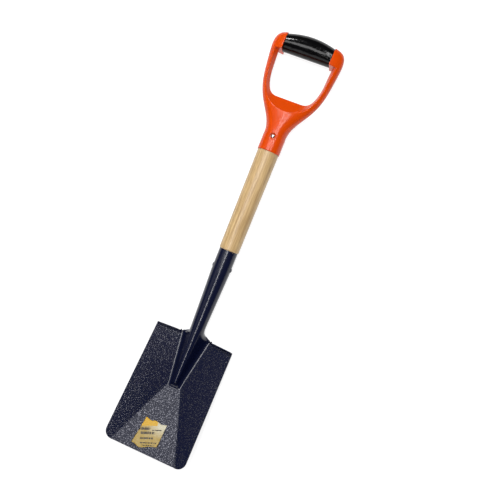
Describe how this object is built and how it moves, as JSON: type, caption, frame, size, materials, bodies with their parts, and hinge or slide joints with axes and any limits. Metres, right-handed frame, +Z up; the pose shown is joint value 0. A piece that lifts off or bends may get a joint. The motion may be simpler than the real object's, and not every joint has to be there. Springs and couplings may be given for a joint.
{
  "type": "square-mouth shovel",
  "caption": "Short D-handled square-mouth garden shovel: pressed steel blade and socket, wooden shaft, moulded handle with a sleeved grip.",
  "frame": {"origin": "bottom centre of the whole tool's bounding box, as it lies on its back on a flat surface", "axes": "+Y along the shaft from the blade towards the handle, +Z up out of the face of the blade, +X to the right seen from above with the handle away from the viewer"},
  "size_m": [0.143, 0.728, 0.0631],
  "materials": {
    "hammer_paint": "dark navy hammered enamel on pressed steel",
    "ash_wood": "clear-lacquered ash, fine lengthwise grain",
    "orange_plastic": "moulded polypropylene, satin gloss",
    "black_grip": "glossy moulded black sleeve",
    "rivet_steel": "bright zinc-plated steel",
    "sticker_paper": null
  },
  "bodies": {
    "root": {"steel_head": "hammer_paint", "socket_rivet": "hammer_paint", "shaft": "ash_wood", "d_handle": "orange_plastic", "grip_sleeve": "black_grip", "handle_rivet": "rivet_steel", "handle_rivet_washer": "rivet_steel", "label": "sticker_paper"}
  },
  "joints": []
}
